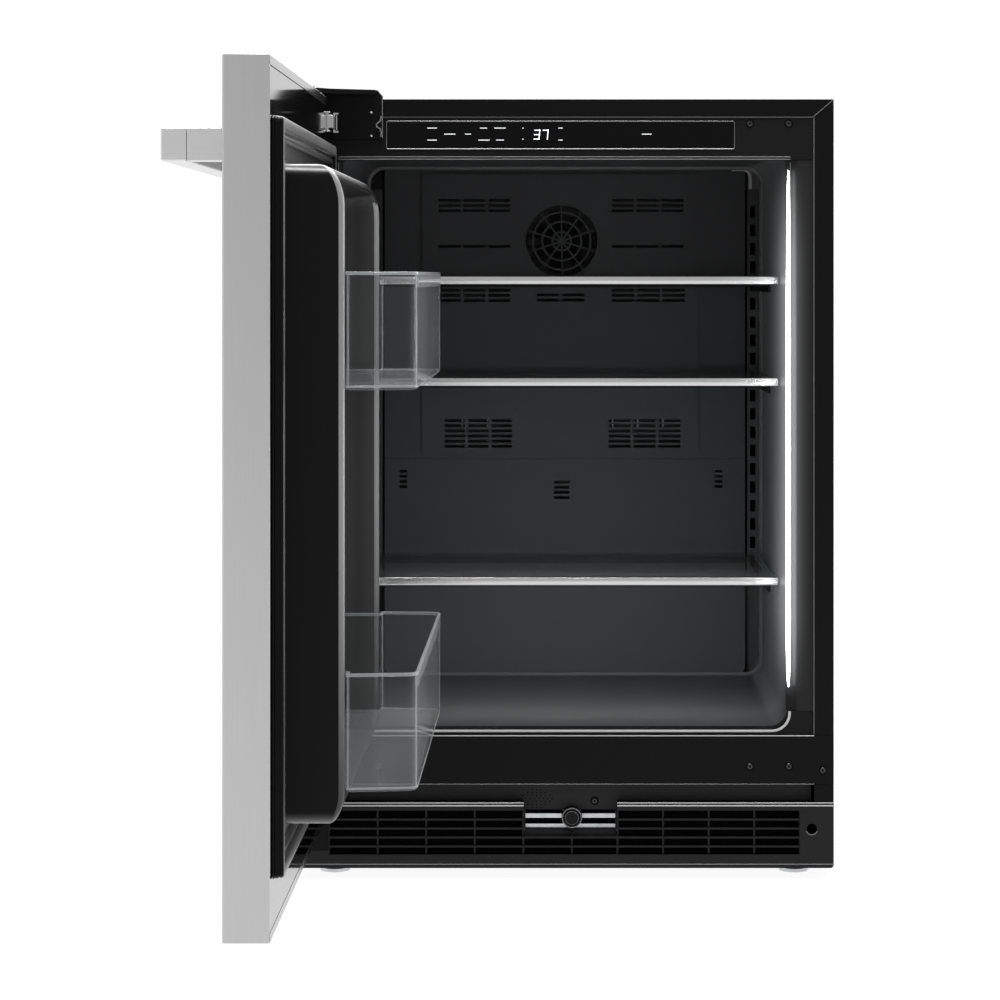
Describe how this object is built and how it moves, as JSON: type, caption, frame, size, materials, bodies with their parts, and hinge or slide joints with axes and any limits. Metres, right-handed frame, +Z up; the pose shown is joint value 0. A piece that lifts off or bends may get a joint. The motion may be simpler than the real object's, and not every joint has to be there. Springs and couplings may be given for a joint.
{
  "type": "mini fridge",
  "caption": "Undercounter refrigerator with a side-hung steel door standing open, door bins, glass shelves, a control panel, light strips and a toe grille.",
  "frame": {"origin": "underside of the base pan, at the middle of the cabinet's width and depth", "axes": "+Z up, +Y from the front opening to the rear panel, +X to the right as seen from the front"},
  "size_m": [0.671, 1.176, 0.89],
  "materials": {
    "cabinet_paint": "satin black",
    "black_plastic": "fine matt",
    "liner_plastic": "semi-gloss vacuum formed",
    "panel_gloss": "high gloss",
    "silver_trim": "polished",
    "stainless": "vertical brushing",
    "shelf_metal": "satin anodised",
    "shelf_glass": "clear toughened",
    "clear_bin": "clear moulded",
    "rubber": "matt",
    "light_lens": "opal diffuser",
    "foam": "rigid foam",
    "zinc": "zinc plated",
    "fin_aluminium": "mill",
    "copper": "drawn tube",
    "machine_black": "gloss black",
    "board": "solder mask"
  },
  "bodies": {
    "cabinet": {"cabinet_wrapper": "cabinet_paint", "rear_panel": "zinc", "power_inlet": "black_plastic", "base_pan": "zinc", "lower_crossbar": "cabinet_paint", "toe_panel": "black_plastic", "kick_grille": "black_plastic", "latch_bracket": "zinc", "inner_liner": "liner_plastic", "cabinet_foam": "foam", "control_fascia": "black_plastic", "control_bezel": "silver_trim", "control_glass": "panel_gloss", "control_board": "board", "breaker_strip_right": "black_plastic", "breaker_strip_left": "black_plastic", "light_strip_right": "light_lens", "light_strip_left": "light_lens", "cavity_sill": "black_plastic", "evaporator_cover": "liner_plastic", "duct_cover": "liner_plastic", "evaporator_coil": "fin_aluminium", "evaporator_fan_motor": "machine_black", "shelf_ladder_right": "cabinet_paint", "shelf_ladder_left": "cabinet_paint", "compressor": "machine_black", "condenser_coil": "fin_aluminium", "condenser_fan_shroud": "machine_black", "drain_pan": "black_plastic", "discharge_tube": "copper", "top_hinge_bracket": "cabinet_paint", "top_hinge_pin": "silver_trim", "bottom_hinge_bracket": "cabinet_paint", "bottom_hinge_pin": "silver_trim"},
    "door": {"door_skin": "stainless", "door_foam": "foam", "door_liner": "liner_plastic", "door_gasket": "rubber", "door_stop_block": "silver_trim", "handle_bar": "stainless", "handle_post_hinge_side": "stainless", "handle_post_latch_side": "stainless"},
    "bin_upper": {"upper_bin": "clear_bin"},
    "bin_lower": {"lower_bin": "clear_bin"},
    "shelf_top": {"shelf_top_glass": "shelf_glass", "shelf_top_trim": "shelf_metal", "shelf_top_frame": "cabinet_paint"},
    "shelf_middle": {"shelf_middle_glass": "shelf_glass", "shelf_middle_trim": "shelf_metal", "shelf_middle_frame": "cabinet_paint"},
    "shelf_lower": {"shelf_lower_glass": "shelf_glass", "shelf_lower_trim": "shelf_metal", "shelf_lower_frame": "cabinet_paint"},
    "fan_evaporator": {"evaporator_fan": "black_plastic"},
    "fan_condenser": {"condenser_fan": "black_plastic"},
    "knob": {"grille_knob": "black_plastic"},
    "leg_front_left": {"levelling_leg_front_left": "zinc"},
    "leg_front_right": {"levelling_leg_front_right": "zinc"},
    "leg_rear_left": {"levelling_leg_rear_left": "zinc"},
    "leg_rear_right": {"levelling_leg_rear_right": "zinc"}
  },
  "joints": [
    {"name": "door_hinge", "type": "hinge", "parent": "cabinet", "child": "door", "pos_m": [-0.283, -0.31, 0.465], "axis": [0, 0, 1], "range_deg": [-25, 90]},
    {"name": "bin_upper_lift", "type": "slide", "parent": "door", "child": "bin_upper", "axis": [0, 0, 1], "range_m": [0, 0.025]},
    {"name": "bin_lower_lift", "type": "slide", "parent": "door", "child": "bin_lower", "axis": [0, 0, 1], "range_m": [0, 0.025]},
    {"name": "shelf_top_tilt", "type": "hinge", "parent": "cabinet", "child": "shelf_top", "pos_m": [0, 0.149, 0.6542], "axis": [-1, 0, 0], "range_deg": [0, 8]},
    {"name": "shelf_middle_tilt", "type": "hinge", "parent": "cabinet", "child": "shelf_middle", "pos_m": [0, 0.149, 0.535], "axis": [-1, 0, 0], "range_deg": [0, 8]},
    {"name": "shelf_lower_tilt", "type": "hinge", "parent": "cabinet", "child": "shelf_lower", "pos_m": [0, 0.149, 0.3016], "axis": [-1, 0, 0], "range_deg": [0, 8]},
    {"name": "evaporator_fan_spin", "type": "hinge", "parent": "cabinet", "child": "fan_evaporator", "pos_m": [-0.004, 0.165, 0.711], "axis": [0, 1, 0], "continuous": true},
    {"name": "condenser_fan_spin", "type": "hinge", "parent": "cabinet", "child": "fan_condenser", "pos_m": [0.06, -0.211, 0.057], "axis": [0, 1, 0], "continuous": true},
    {"name": "knob_turn", "type": "hinge", "parent": "cabinet", "child": "knob", "pos_m": [0.0084, -0.27, 0.0557], "axis": [0, 1, 0], "range_deg": [0, 90]},
    {"name": "leg_front_left_screw", "type": "slide", "parent": "cabinet", "child": "leg_front_left", "axis": [0, 0, -1], "range_m": [0, 0.02]},
    {"name": "leg_front_right_screw", "type": "slide", "parent": "cabinet", "child": "leg_front_right", "axis": [0, 0, -1], "range_m": [0, 0.02]},
    {"name": "leg_rear_left_screw", "type": "slide", "parent": "cabinet", "child": "leg_rear_left", "axis": [0, 0, -1], "range_m": [0, 0.02]},
    {"name": "leg_rear_right_screw", "type": "slide", "parent": "cabinet", "child": "leg_rear_right", "axis": [0, 0, -1], "range_m": [0, 0.02]}
  ]
}
